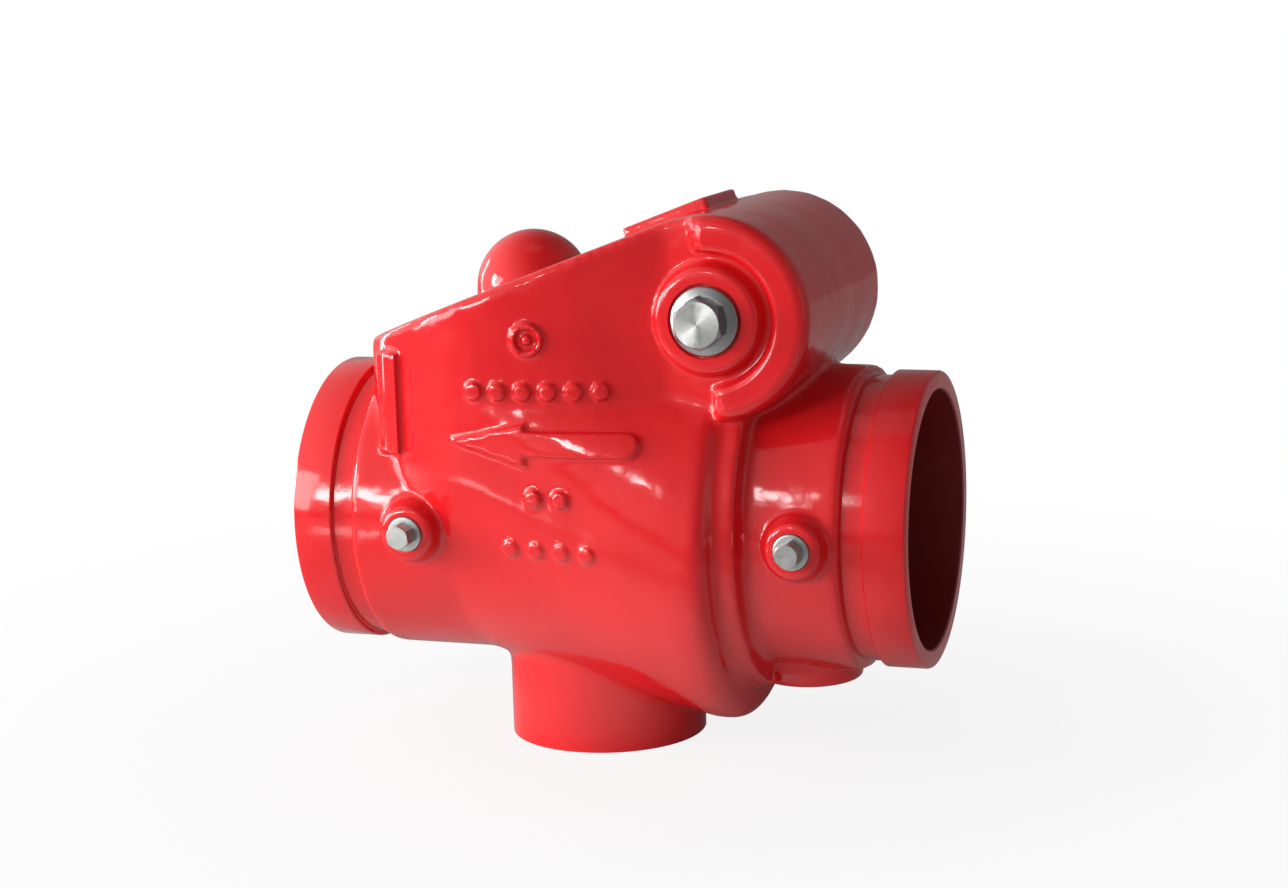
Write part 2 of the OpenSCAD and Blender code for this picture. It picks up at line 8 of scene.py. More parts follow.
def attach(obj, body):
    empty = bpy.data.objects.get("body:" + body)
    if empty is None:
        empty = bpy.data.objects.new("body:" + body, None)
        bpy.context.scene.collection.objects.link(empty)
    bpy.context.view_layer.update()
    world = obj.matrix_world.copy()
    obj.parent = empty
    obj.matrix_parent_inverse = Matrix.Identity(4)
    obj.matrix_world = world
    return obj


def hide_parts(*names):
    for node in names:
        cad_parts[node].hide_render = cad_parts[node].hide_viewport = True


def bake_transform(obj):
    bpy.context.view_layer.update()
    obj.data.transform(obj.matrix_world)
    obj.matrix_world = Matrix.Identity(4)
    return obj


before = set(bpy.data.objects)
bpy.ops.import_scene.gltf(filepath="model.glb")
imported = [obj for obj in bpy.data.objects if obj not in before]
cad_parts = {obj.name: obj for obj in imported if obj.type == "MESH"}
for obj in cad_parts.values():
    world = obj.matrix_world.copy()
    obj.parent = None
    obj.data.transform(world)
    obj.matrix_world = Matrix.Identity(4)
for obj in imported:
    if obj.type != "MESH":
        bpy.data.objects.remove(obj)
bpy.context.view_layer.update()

# A red painted non-return valve. The origin is the centre of its inlet face, the water runs towards -X and Z is up.
# Sizes are in millimetres, and "d" is a distance from the inlet face.
MM = 0.001

# The casting, with the same sizes as the CAD part. "_D" is a distance from the inlet, "_R" a radius, and "_Y" and
# "_Z" are places across and above the pipe axis.
FACE_TO_FACE = 244.5
FLOOR_Z = -90.8
WALL = 6.5

# pipe ends and barrels
GASKET_SEAT = 16
GROOVE_END = 24.7
PIPE_R = 57.15
GROOVE_R = 55.05
BORE_R = 50
INLET_BARREL_R = 58.65
OUTLET_BARREL_R = 58.15

# hinge barrel, with the plug boss and the half ring on its front
HINGE_D = 73.5
HINGE_Z = 83
HINGE_BARREL_R = 38.5
HINGE_HALF = 57
RECESS_Y = -51
RING_Y = -57
PLUG_BOSS_Y = -58
PLUG_BOSS_R = 20.5

# hood
ROOF_SLOPE = math.radians(20.5)
ROOF_UP = 39.3
HOOD_TOP_Z = 160
NOSE_D = 159.46
NOSE_R = 67
NOSE_FOOT_Z = 28
NOSE_FOOT_DROP = 6
CHEEK_LEN = 97
SHOULDER_D = 87.26
SHOULDER_HALF = 50
DOME_D = 161.95
DOME_Z = 88.09
DOME_R = 22.5
DOME_WALL = 6

# belly
BULGE_R = 75
BULGE_Z = -6
BULGE_LEN = 18
BULGE_EDGE_R = 6.5
BULGE_EDGE_GROWN_R = 8.5
CHAMBER_D = 70
CHAMBER_END_D = CHAMBER_D + WALL + 0.5
TAIL_D = 177
BELLY_TOP_Z = 52

# bosses under the pipe and on its front
BLANK_BOSS_D = 51.5
BLANK_BOSS_R = 21
BLANK_BOSS_DROP = 64.45
PORT_Y = -66
INLET_PORT_D = 40
OUTLET_PORT_D = 193
DRAIN_D = 135.5
DRAIN_BOSS_R = 38.9
DRAIN_R = 28.5
DRAIN_PASSAGE_R = 25

# raised marks
MARK_RISE = 2.1
MARK_FRONT_Y = -90
MARK_BACK_Y = -50
ARROW_TAIL = 101.6
ARROW_NECK = 141.5

# what is fitted inside
SEAT_D = 64
SEAT_RING_R = 56
SHAFT_R = 6
BUSHING_R = 9
BUSHING_Y = 36
BUSHING_END_Y = 48
SHAFT_BOSS_R = 15
PLUG_FLANGE_R = 12.9
CLAPPER_R = 55
BOLT_R = 5
WIRE_R = 1.4
COIL_R = 10.2
COIL_PITCH = 3.4
COIL_TURNS = 6

# triangles that the cast forms are thinned to, and the share of its own that the clapper keeps
BODY_FACES = 130000
HOLLOW_FACES = 24000
CLAPPER_SHARE = 0.35


# Shapes

def at(d, y, z):
    """A point in metres, from its distance from the inlet, its Y and its Z in millimetres."""
    return Vector((-d * MM, y * MM, z * MM))


def round_bar(bm, a, b, r1, r2=None, sides=128):
    """A round bar, or a cone, from point a to point b."""
    axis = b - a
    place = Matrix.Translation((a + b) / 2) @ axis.to_track_quat("Z", "Y").to_matrix().to_4x4()
    bmesh.ops.create_cone(bm, cap_ends=True, segments=sides, radius1=r1 * MM,
                          radius2=(r1 if r2 is None else r2) * MM, depth=axis.length, matrix=place)


def block(bm, low, high, turn=Matrix()):
    """A block between two corners, then turned."""
    size = Matrix.Diagonal((*(high - low), 1))
    bmesh.ops.create_cube(bm, size=1, matrix=turn @ Matrix.Translation((low + high) / 2) @ size)


def circle(bm, centre, axis, r, sides=96):
    """A ring of points about an axis."""
    place = Matrix.Translation(centre) @ Vector(axis).to_track_quat("Z", "Y").to_matrix().to_4x4()
    return bmesh.ops.create_circle(bm, cap_ends=False, segments=sides, radius=r * MM, matrix=place)["verts"]


def wrap(bm):
    """Stretches a skin over all points of a shape."""
    bmesh.ops.convex_hull(bm, input=bm.verts)
    bmesh.ops.delete(bm, geom=[e for e in bm.edges if not e.link_faces], context="EDGES")
    bmesh.ops.delete(bm, geom=[v for v in bm.verts if not v.link_faces], context="VERTS")
    bmesh.ops.recalc_face_normals(bm, faces=bm.faces)


def plane_cut(bm, point, normal):
    """Takes off what lies beyond a plane and closes the cut."""
    cut = bmesh.ops.bisect_plane(bm, geom=[*bm.verts, *bm.edges, *bm.faces], dist=1e-7, plane_co=point,
                                 plane_no=normal, clear_outer=True)
    bmesh.ops.holes_fill(bm, edges=[e for e in cut["geom_cut"] if isinstance(e, bmesh.types.BMEdge)], sides=0)


def turned(bm, outline, centre, axis, ease=0.0, start=0.0, angle=math.tau, steps=128):
    """Turns an outline of (radius, distance along the axis) about an axis, with its corners eased by a bevel."""
    along = Vector(axis)
    side = Vector((1, 0, 0)) if abs(along.z) > 0.5 else Vector((0, 0, 1))
    side.rotate(Matrix.Rotation(start, 3, along))
    ring = bmesh.new()
    verts = [ring.verts.new(centre + side * r * MM + along * h * MM) for r, h in outline]
    ring.faces.new(verts)
    if ease:
        corners = [v for v, (r, _) in zip(verts, outline) if r > 0]
        bmesh.ops.bevel(ring, geom=corners, offset=ease * MM, affect="VERTICES", segments=2, profile=0.5,
                        material=-1, clamp_overlap=True)
    full = abs(angle - math.tau) < 1e-6
    if full:
        bmesh.ops.delete(ring, geom=ring.faces[:], context="FACES_ONLY")
        core = [e for e in ring.edges if all((v.co - centre).cross(along).length < 1e-8 for v in e.verts)]
        bmesh.ops.delete(ring, geom=core, context="EDGES")
    geom = [*ring.verts, *ring.edges, *ring.faces]
    bmesh.ops.spin(ring, geom=geom, cent=centre, axis=along, angle=angle, steps=steps, use_merge=full)
    bmesh.ops.remove_doubles(ring, verts=ring.verts, dist=1e-7)
    bmesh.ops.recalc_face_normals(ring, faces=ring.faces)
    add_shape(bm, ring)


def plate(bm, outline, y0, y1):
    """A flat plate from an outline of (d, z), between two places in Y."""
    face = bm.faces.new([bm.verts.new(at(d, y0, z)) for d, z in outline])
    grown = bmesh.ops.extrude_face_region(bm, geom=[face])["geom"]
    move = [v for v in grown if isinstance(v, bmesh.types.BMVert)]
    bmesh.ops.translate(bm, verts=move, vec=(0, (y1 - y0) * MM, 0))
    bmesh.ops.recalc_face_normals(bm, faces=bm.faces)


def arc(cx, cy, r, a0, a1, steps):
    """Points of an arc, with its angles in degrees."""
    span = [math.radians(a0 + (a1 - a0) * k / steps) for k in range(steps + 1)]
    return [(cx + r * math.cos(a), cy + r * math.sin(a)) for a in span]


# From shapes to finished pieces

def mesh_of(bm, name):
    """A mesh made from a bmesh, which is freed."""
    mesh = bpy.data.meshes.new(name)
    bm.to_mesh(mesh)
    bm.free()
    return mesh


def add_shape(bm, part):
    """Adds one shape to another, and frees it."""
    mesh = mesh_of(part, "part")
    bm.from_mesh(mesh)
    bpy.data.meshes.remove(mesh)


def piece_of(bm, name):
    """An object in the scene, made from a bmesh."""
    obj = bpy.data.objects.new(name, mesh_of(bm, name))
    bpy.context.scene.collection.objects.link(obj)
    return obj


def settle(obj):
    """Applies all modifiers of a piece to its mesh."""
    graph = bpy.context.evaluated_depsgraph_get()
    mesh = bpy.data.meshes.new_from_object(obj.evaluated_get(graph))
    obj.modifiers.clear()
    old = obj.data
    obj.data = mesh
    bpy.data.meshes.remove(old)


def cast_skin(bm, voxel, passes):
    """Melts overlapping shapes into one cast form, with its edges and corners rounded. Returns a bmesh."""
    obj = piece_of(bm, "melt")
    melt = obj.modifiers.new("melt", "REMESH")
    melt.mode = "VOXEL"
    melt.voxel_size = voxel * MM
    ease = obj.modifiers.new("ease", "SMOOTH")
    ease.factor = 0.5
    ease.iterations = passes
    settle(obj)
    out = bmesh.new()
    out.from_mesh(obj.data)
    bpy.data.objects.remove(obj)
    return out


def join_or_cut(obj, bm, operation):
    """Joins a shape to a piece, or cuts it out."""
    tool = piece_of(bm, "tool")
    step = obj.modifiers.new("step", "BOOLEAN")
    step.operation = operation
    step.solver = "MANIFOLD"
    step.object = tool
    settle(obj)
    bpy.data.objects.remove(tool)


def shade(obj, degrees):
    """Smooth faces, with sharp edges above an angle."""
    obj.data.shade_smooth()
    obj.data.set_sharp_from_angle(angle=math.radians(degrees))


# The casting

def roof_plane(depth=0.0):
    """A point and the normal of the sloping roof, or of a plane at some depth under it."""
    normal = Vector((-math.sin(ROOF_SLOPE), 0, math.cos(ROOF_SLOPE)))
    return at(HINGE_D, 0, HINGE_Z) + normal * (ROOF_UP - depth) * MM, normal


def hood(grow):
    """The tall part over the open clapper: round at the nose, its sides drawing in towards the hinge. It can be grown
    outwards on all sides, or shrunk."""
    bm = bmesh.new()
    foot = NOSE_FOOT_Z - (NOSE_FOOT_DROP if grow == 0 else 0)
    for z in (foot, HOOD_TOP_Z):
        circle(bm, at(NOSE_D, 0, z), (0, 0, 1), NOSE_R + grow)
        cheek = circle(bm, at(NOSE_D, 0, z), (0, 0, 1), NOSE_R + grow)
        bmesh.ops.delete(bm, geom=[v for v in cheek if v.co.x < -NOSE_D * MM], context="VERTS")
        cheek = [v for v in cheek if v.is_valid]
        stretch = (CHEEK_LEN + grow) / (NOSE_R + grow)
        bmesh.ops.scale(bm, verts=cheek, vec=(stretch, 1, 1), space=Matrix.Translation(at(-NOSE_D, 0, 0)))
        bmesh.ops.delete(bm, geom=[v for v in cheek if v.co.x > -SHOULDER_D * MM], context="VERTS")
        for y in (-1, 1):
            bm.verts.new(at(SHOULDER_D, y * (SHOULDER_HALF + grow), z))
    wrap(bm)
    plane_cut(bm, *roof_plane(-grow))
    return bm


def belly(grow):
    """The lower part, from the bulge about the seat to the outlet barrel. It can be grown or shrunk."""
    bm = bmesh.new()
    edge = (BULGE_EDGE_R if grow == 0 else BULGE_EDGE_GROWN_R) + min(grow, 0) / 2
    start = CHAMBER_END_D if grow < 0 else CHAMBER_D - grow
    r = BULGE_R + grow
    for k in range(7):
        a = math.radians(15 * k)
        for d in (start + edge * (1 - math.cos(a)), start + BULGE_LEN - edge * (1 - math.cos(a))):
            circle(bm, at(d, 0, BULGE_Z), (1, 0, 0), r - edge + edge * math.sin(a))
    for z in (NOSE_FOOT_Z - (NOSE_FOOT_DROP if grow == 0 else 0), BELLY_TOP_Z):
        circle(bm, at(NOSE_D, 0, z), (0, 0, 1), NOSE_R + grow)
    for d in (TAIL_D, TAIL_D + 1):
        circle(bm, at(d, 0, 0), (1, 0, 0), BORE_R if grow < 0 else OUTLET_BARREL_R + grow)
    wrap(bm)
    return bm


def dome(bm, r, sides):
    """The dome on the roof, on its short neck."""
    bmesh.ops.create_uvsphere(bm, u_segments=sides, v_segments=sides // 2, radius=r * MM,
                              matrix=Matrix.Translation(at(DOME_D, 0, DOME_Z)))
    round_bar(bm, at(DOME_D, 0, DOME_Z - DOME_R), at(DOME_D, 0, DOME_Z), r)


def port_boss(bm, d, barrel_r):
    """A boss with a rounded face, which widens into its barrel."""
    outline = [(0, PORT_Y), *arc(8.4, PORT_Y + 2.6, 2.6, -90, -12, 5), (11.2, -62.5), (12.6, -barrel_r - 0.5),
               (14.5, -barrel_r + 3), (14.5, -BORE_R - 3), (0, -BORE_R - 3)]
    turned(bm, outline, at(d, 0, 0), (0, 1, 0), steps=64)


def casting():
    """The body in its outer form, before any machining. The large forms are melted together first and softly, then
    the forms with tighter corners."""
    bm = bmesh.new()
    round_bar(bm, at(GROOVE_END - 0.6, 0, 0), at(CHAMBER_D + 6, 0, 0), INLET_BARREL_R + 0.2)
    round_bar(bm, at(FACE_TO_FACE - GROOVE_END + 0.6, 0, 0), at(NOSE_D, 0, 0), OUTLET_BARREL_R + 0.2)
    add_shape(bm, hood(0))
    add_shape(bm, belly(0))
    round_bar(bm, at(61.5, 0, 0), at(77, 0, 0), 67)
    round_bar(bm, at(HINGE_D, RECESS_Y, HINGE_Z), at(HINGE_D, HINGE_HALF, HINGE_Z), HINGE_BARREL_R)
    round_bar(bm, at(DRAIN_D, 0, FLOOR_Z - 15), at(DRAIN_D, 0, -BORE_R), DRAIN_BOSS_R + 0.2)
    bm = cast_skin(bm, 1.5, 12)

    dome(bm, DOME_R, 96)
    blank = [(0, -BLANK_BOSS_DROP), *arc(BLANK_BOSS_R - 1.7, -BLANK_BOSS_DROP + 2, 2, -90, 0, 6),
             (BLANK_BOSS_R + 0.4, -58), (BLANK_BOSS_R + 3, -55), (BLANK_BOSS_R + 3, -BORE_R - 4), (0, -BORE_R - 4)]
    turned(bm, blank, at(BLANK_BOSS_D, 0, 0), (0, 0, 1), steps=96)
    port_boss(bm, INLET_PORT_D, INLET_BARREL_R)
    port_boss(bm, OUTLET_PORT_D, OUTLET_BARREL_R)
    boss = [(0, PLUG_BOSS_Y), *arc(PLUG_BOSS_R - 3.2, PLUG_BOSS_Y + 3.2, 3.2, -90, 0, 6),
            (PLUG_BOSS_R + 0.6, RECESS_Y - 1), (PLUG_BOSS_R + 2, RECESS_Y + 4), (0, RECESS_Y + 4)]
    turned(bm, boss, at(HINGE_D, 0, HINGE_Z), (0, 1, 0), steps=96)
    add_shape(bm, half_ring())
    add_shape(bm, roof_pad())
    add_shape(bm, nose_pad())
    add_shape(bm, raised_marks())
    bm = cast_skin(bm, 0.85, 4)
    plane_cut(bm, at(0, 0, FLOOR_Z), (0, 0, -1))
    return bm


def half_ring():
    """The raised ring round the right of the plug boss. Short turns that sink away round off its two ends."""
    bm = bmesh.new()
    profile = [(24.4, 12), (24.8, 5), *arc(27.6, 2.6, 2.6, 185, 270, 6),
               *arc(HINGE_BARREL_R - 5, 5, 5, -90, 0, 8), (HINGE_BARREL_R, 12)]
    centre = at(HINGE_D, RING_Y, HINGE_Z)
    turned(bm, profile, centre, (0, 1, 0), 0, math.radians(-3), math.radians(173), 80)
    for angle, drop in ((-4, 0.9), (-6, 2.2), (-8, 4.0), (170, 0.9), (172, 2.2), (174, 4.0)):
        turned(bm, [(min(r + 0.6, HINGE_BARREL_R - 0.3), h + drop) for r, h in profile],
               centre, (0, 1, 0), 0, math.radians(angle - 4), math.radians(8), 4)
    return bm


def roof_pad():
    """The flat pad on the roof, beside the hinge barrel."""
    bm = bmesh.new()
    origin, _ = roof_plane()
    turn = Matrix.Translation(origin) @ Matrix.Rotation(-ROOF_SLOPE, 4, "Y")
    block(bm, Vector((-31, -20, -8)) * MM, Vector((4.5, 20, 4)) * MM, turn)
    return bm


def nose_pad():
    """The upright pad on the nose, of two flats at an angle to each other."""
    bm = bmesh.new()
    turn = Matrix.Translation(at(NOSE_D, 0, 0)) @ Matrix.Rotation(math.radians(53), 4, "Z")
    block(bm, Vector((-NOSE_R - 3.4, -1.5, 29)) * MM, Vector((-NOSE_R + 4.5, 9, 68.5)) * MM, turn)
    turn = turn @ Matrix.Translation(Vector((-NOSE_R - 3.6, -0.5, 0)) * MM)
    turn = turn @ Matrix.Rotation(math.radians(18), 4, "Z")
    block(bm, Vector((0, -3.8, 29.4)) * MM, Vector((7, 2.5, 68)) * MM, turn)
    return bm


def raised_marks():
    """The flow arrow to the outlet, and plain foundry pips, all standing MARK_RISE above the hood and the belly."""
    marks = bmesh.new()
    shaft_z, shaft_r = 37.4, 4.4
    tail = [(ARROW_TAIL - shaft_r * math.sin(a), shaft_z + shaft_r * math.cos(a)) for a in
            [math.radians(20 * k) for k in range(1, 9)]]
    upper, lower = shaft_z + shaft_r, shaft_z - shaft_r
    plate(marks, [(171.5, 37.2), (ARROW_NECK, 44.6), (ARROW_NECK, upper), (ARROW_TAIL, upper), *tail,
                  (ARROW_TAIL, lower), (ARROW_NECK, lower), (ARROW_NECK, 28.8)], MARK_FRONT_Y, MARK_BACK_Y)
    depth = MARK_BACK_Y - MARK_FRONT_Y
    turned(marks, [(4.4, 0), (6.2, 0), (6.2, depth), (4.4, depth)], at(140, MARK_FRONT_Y, 76), (0, 1, 0), steps=48)
    pips = [(140, 76, 1.8)]
    pips += [(161.5 - 9.6 * k, 56.3, 3.2) for k in range(6)]
    pips += [(138.2, 16.6, 3.3), (127.4, 16.6, 3.3)]
    pips += [(150.4 - 10.9 * k, -4.2, 3.1) for k in range(4)]
    for d, z, r in pips:
        round_bar(marks, at(d, MARK_FRONT_Y, z), at(d, MARK_BACK_Y, z), r, sides=32)
    found = bmesh.new()
    for form in (hood(MARK_RISE), belly(MARK_RISE)):
        piece = piece_of(marks.copy(), "marks")
        join_or_cut(piece, form, "INTERSECT")
        found.from_mesh(piece.data)
        bpy.data.objects.remove(piece)
    marks.free()
    return found


def pipe_end(bm, place, inwards):
    """One machined pipe end with its groove."""
    outline = [(BORE_R - 4, 0), (PIPE_R - 1, 0), (PIPE_R - 0.3, 0.3), (PIPE_R, 1), (PIPE_R, GASKET_SEAT - 0.5),
               (PIPE_R - 0.5, GASKET_SEAT), (GROOVE_R + 0.3, GASKET_SEAT), (GROOVE_R, GASKET_SEAT + 0.3),
               (GROOVE_R, GROOVE_END + 3), (BORE_R - 4, GROOVE_END + 3)]
    turned(bm, outline, place, (inwards, 0, 0), steps=180)


def hollow():
    """The cast hollow: room for the open clapper and the hinge, and the dome's inside."""
    bm = bmesh.new()
    add_shape(bm, hood(-WALL))
    add_shape(bm, belly(-WALL))
    dome(bm, DOME_R - DOME_WALL, 64)
    half = SHOULDER_HALF - WALL
    room = bmesh.new()
    round_bar(room, at(HINGE_D, -half, HINGE_Z), at(HINGE_D, half, HINGE_Z), ROOF_UP - WALL)
    plane_cut(room, at(0, 0, SEAT_RING_R + 6), (0, 0, -1))
    add_shape(bm, room)
    block(bm, at(SHOULDER_D + 0.5, -half, NOSE_FOOT_Z), at(CHAMBER_END_D, half, HINGE_Z))
    return cast_skin(bm, 1.6, 5)


def machining():
    """What is bored, turned or tapped after casting. Each entry is cut out on its own."""
    mouth_r, past = BORE_R + 0.6, 5
    inlet_bore = [(0, -past), (mouth_r, -past), (mouth_r, -0.01), (BORE_R, 0.6), (BORE_R, SEAT_D + 2),
                  (0, SEAT_D + 2)]
    seat_bore = [(0, SEAT_D), (SEAT_RING_R, SEAT_D), (SEAT_RING_R, CHAMBER_D + WALL + 1), (0, CHAMBER_D + WALL + 1)]
    outlet_bore = [(0, NOSE_D), (BORE_R, NOSE_D), (BORE_R, FACE_TO_FACE - 0.6), (mouth_r, FACE_TO_FACE + 0.01),
                   (mouth_r, FACE_TO_FACE + past), (0, FACE_TO_FACE + past)]
    drain = [(0, -past), (DRAIN_R + 1.5, -past), (DRAIN_R + 1.5, -0.01), (DRAIN_R + 1, 0.5)]
    for k in range(7):
        drain += [(DRAIN_R, 1.5 + 2 * k), (DRAIN_R + 1, 2.5 + 2 * k)]
    drain += [(DRAIN_R, 15.5), (DRAIN_PASSAGE_R + 1, 16), (DRAIN_PASSAGE_R, 17), (DRAIN_PASSAGE_R, 60), (0, 60)]
    port = [(0, -2), (7, -2), (7, -0.01), (6.5, 0.5), (6.5, 20), (0, 20)]
    pocket_r, thread_r = 14.1, 10.5
    front = [(0, -2), (pocket_r, -2), (pocket_r, 1.9), (thread_r, 1.9), (thread_r, 9.3), (BUSHING_R, 9.3),
             (BUSHING_R, 26), (0, 26)]
    rear = [(0, -1), (BUSHING_R, -1), (BUSHING_R, 14), (0, 14)]
    inlet, across = at(0, 0, 0), (0, 1, 0)
    cuts = []
    for outline, centre, axis, steps in (
            (inlet_bore, inlet, (-1, 0, 0), 180), (seat_bore, inlet, (-1, 0, 0), 180),
            (outlet_bore, inlet, (-1, 0, 0), 180), (drain, at(DRAIN_D, 0, FLOOR_Z), (0, 0, 1), 128),
            (port, at(INLET_PORT_D, PORT_Y, 0), across, 48), (port, at(OUTLET_PORT_D, PORT_Y, 0), across, 48),
            (front, at(HINGE_D, PLUG_BOSS_Y, HINGE_Z), across, 64),
            (rear, at(HINGE_D, BUSHING_Y, HINGE_Z), across, 64)):
        bm = bmesh.new()
        turned(bm, outline, centre, axis, steps=steps)
        cuts.append(bm)
    return cuts


def thinned(bm, name, triangles):
    """A piece whose mesh is thinned to about so many triangles."""
    obj = piece_of(bm, name)
    thin = obj.modifiers.new("thin", "DECIMATE")
    thin.ratio = triangles / max(1, sum(len(f.vertices) - 2 for f in obj.data.polygons))
    settle(obj)
    return obj


def make_body():
    """The body: the casting, hollowed, with its shaft bosses and pipe ends, then machined."""
    body = thinned(casting(), "valve_body_casting", BODY_FACES)
    inside = thinned(hollow(), "hollow", HOLLOW_FACES)
    cut = bmesh.new()
    cut.from_mesh(inside.data)
    bpy.data.objects.remove(inside)
    join_or_cut(body, cut, "DIFFERENCE")
    for near, far in ((-56.5, -BUSHING_Y), (BUSHING_Y, 50)):
        boss = bmesh.new()
        round_bar(boss, at(HINGE_D, near, HINGE_Z), at(HINGE_D, far, HINGE_Z), SHAFT_BOSS_R, sides=64)
        join_or_cut(body, boss, "UNION")
    for place, inwards in ((at(0, 0, 0), -1), (at(FACE_TO_FACE, 0, 0), 1)):
        end = bmesh.new()
        pipe_end(end, place, inwards)
        join_or_cut(body, end, "UNION")
    for cut in machining():
        join_or_cut(body, cut, "DIFFERENCE")
    return body


# Small pieces

def ring_piece(name, outline, steps=128, ease=0.15):
    """A piece turned about the pipe axis, from an outline of (radius, distance from the inlet)."""
    bm = bmesh.new()
    turned(bm, outline, at(0, 0, 0), (-1, 0, 0), ease, steps=steps)
    return piece_of(bm, name)


def hinge_piece(name, outline, steps=64, ease=0.15):
    """A piece turned about the hinge axis, from an outline of (radius, Y)."""
    bm = bmesh.new()
    turned(bm, outline, at(HINGE_D, 0, HINGE_Z), (0, 1, 0), ease, steps=steps)
    return piece_of(bm, name)


def seal_ring_piece(name, middle_r, section_r, d):
    """A rubber ring of round section about the pipe axis."""
    bm = bmesh.new()
    section = [(middle_r + section_r * math.cos(a), d + section_r * math.sin(a))
               for a in [math.tau * k / 20 for k in range(20)]]
    turned(bm, section, at(0, 0, 0), (-1, 0, 0), steps=96)
    return piece_of(bm, name)


def hexagon(bm, place, flats, height, chamfer, both=False):
    """A hexagon head along the place's Z, with its corners turned off at the top, or at both ends."""
    head = bmesh.new()
    bmesh.ops.create_cone(head, cap_ends=True, segments=6, radius1=flats / math.sqrt(3) * MM,
                          radius2=flats / math.sqrt(3) * MM, depth=height * MM,
                          matrix=Matrix.Translation((0, 0, height * MM / 2)))
    head = piece_of(head, "head")
    r = flats / 2
    face_r, beyond_r = r * 0.98, r * 1.25
    drop = chamfer * (2 / math.sqrt(3) - 1) * r * 1.6
    low = [(0, 0), (face_r, 0), (beyond_r, drop)] if both else [(0, -1), (beyond_r, -1)]
    form = bmesh.new()
    turned(form, [*low, (beyond_r, height - drop), (face_r, height), (0, height)], Vector(), (0, 0, 1), steps=96)
    join_or_cut(head, form, "INTERSECT")
    head.data.transform(place)
    bm.from_mesh(head.data)
    bpy.data.objects.remove(head)


def facing(point, axis, turn=0.0):
    """A place whose Z runs along an axis, turned about it."""
    return Matrix.Translation(point) @ Vector(axis).to_track_quat("Z", "Y").to_matrix().to_4x4() \
        @ Matrix.Rotation(math.radians(turn), 4, "Z")


def make_shaft_plug():
    """Flanged hexagon plug over the end of the hinge shaft."""
    face = PLUG_BOSS_Y - 2
    under = PLUG_BOSS_Y - 0.02
    plug = hinge_piece("shaft_plug_turned", [
        (0, -49), (10.4, -49), (10.4, under), (PLUG_FLANGE_R, under), (PLUG_FLANGE_R, face + 1.3),
        (PLUG_FLANGE_R - 0.4, face + 0.9), (9.6, face - 0.3), (0, face - 0.3)], 96, 0.12)
    head = bmesh.new()
    hexagon(head, facing(at(HINGE_D, face, HINGE_Z), (0, -1, 0), turn=6), flats=17.2, height=8, chamfer=0.9)
    join_or_cut(plug, head, "UNION")
    return plug


def make_port_plug(name, d, turn):
    """Small hexagon plug in a port boss, with its head turned as it was tightened."""
    bm = bmesh.new()
    turned(bm, [(0, 12), (6.4, 12), (6.4, -0.02), (6.8, -0.02), (6.8, -0.7), (6.3, -1.0), (0, -1.0)],
           at(d, PORT_Y, 0), (0, 1, 0), ease=0.1, steps=64)
    plug = piece_of(bm, name)
    head = bmesh.new()
    hexagon(head, facing(at(d, PORT_Y - 1, 0), (0, -1, 0), turn), flats=8.5, height=6.5, chamfer=0.9)
    join_or_cut(plug, head, "UNION")
    return plug


def make_clapper():
    """The cast clapper with its two arms and lugs, then machined for its seal, bolt and shaft."""
    bm = bmesh.new()
    round_bar(bm, at(84, 0, 0), at(95, 0, 0), CLAPPER_R)
    round_bar(bm, at(94, 0, 0), at(101, 0, 0), 16, 13)
    arm = [(HINGE_D, 70), (84, 61), (84, 30), (95, 4), (97, 30), (97, 63), (HINGE_D + 13, HINGE_Z)]
    for y0, y1 in ((-32, -16), (16, 32)):
        plate(bm, arm, y0, y1)
        round_bar(bm, at(HINGE_D, y0, HINGE_Z), at(HINGE_D, y1, HINGE_Z), 13)
    clapper = piece_of(cast_skin(bm, 1.0, 6), "clapper_casting")
    thin = clapper.modifiers.new("thin", "DECIMATE")
    thin.ratio = CLAPPER_SHARE
    settle(clapper)
    pocket = bmesh.new()
    turned(pocket, [(0, 60), (51.8, 60), (51.8, 87.5), (0, 87.5)], at(0, 0, 0), (-1, 0, 0))
    join_or_cut(clapper, pocket, "DIFFERENCE")
    pilot = bmesh.new()
    turned(pilot, [(0, 83), (19.8, 83), (19.8, 90), (0, 90)], at(0, 0, 0), (-1, 0, 0), 0.3)
    join_or_cut(clapper, pilot, "UNION")
    for a, b, r in ((at(60, 0, 0), at(120, 0, 0), BOLT_R + 0.02),
                    (at(HINGE_D, -60, HINGE_Z), at(HINGE_D, 60, HINGE_Z), SHAFT_R + 0.05)):
        cut = bmesh.new()
        round_bar(cut, a, b, r, sides=64)
        join_or_cut(clapper, cut, "DIFFERENCE")
    for y0, y1 in ((-40, -32), (32, 40), (-16, 16)):
        cut = bmesh.new()
        round_bar(cut, at(HINGE_D, y0, HINGE_Z), at(HINGE_D, y1, HINGE_Z), 14, sides=64)
        join_or_cut(clapper, cut, "DIFFERENCE")
    return clapper


def make_bolt():
    """Hexagon bolt through the clapper, with its thread cut at the end."""
    outline = [(0, 73), (BOLT_R, 73), (BOLT_R, 100)]
    for k in range(8):
        outline += [(4.45, 100.7 + 1.5 * k), (4.98, 101.4 + 1.5 * k)]
    outline += [(4.2, 113), (0, 113)]
    bolt = ring_piece("clapper_bolt_turned", outline, 48, 0)
    head = bmesh.new()
    hexagon(head, facing(at(78, 0, 0), (1, 0, 0)), flats=17, height=6.4, chamfer=0.9)
    join_or_cut(bolt, head, "UNION")
    return bolt


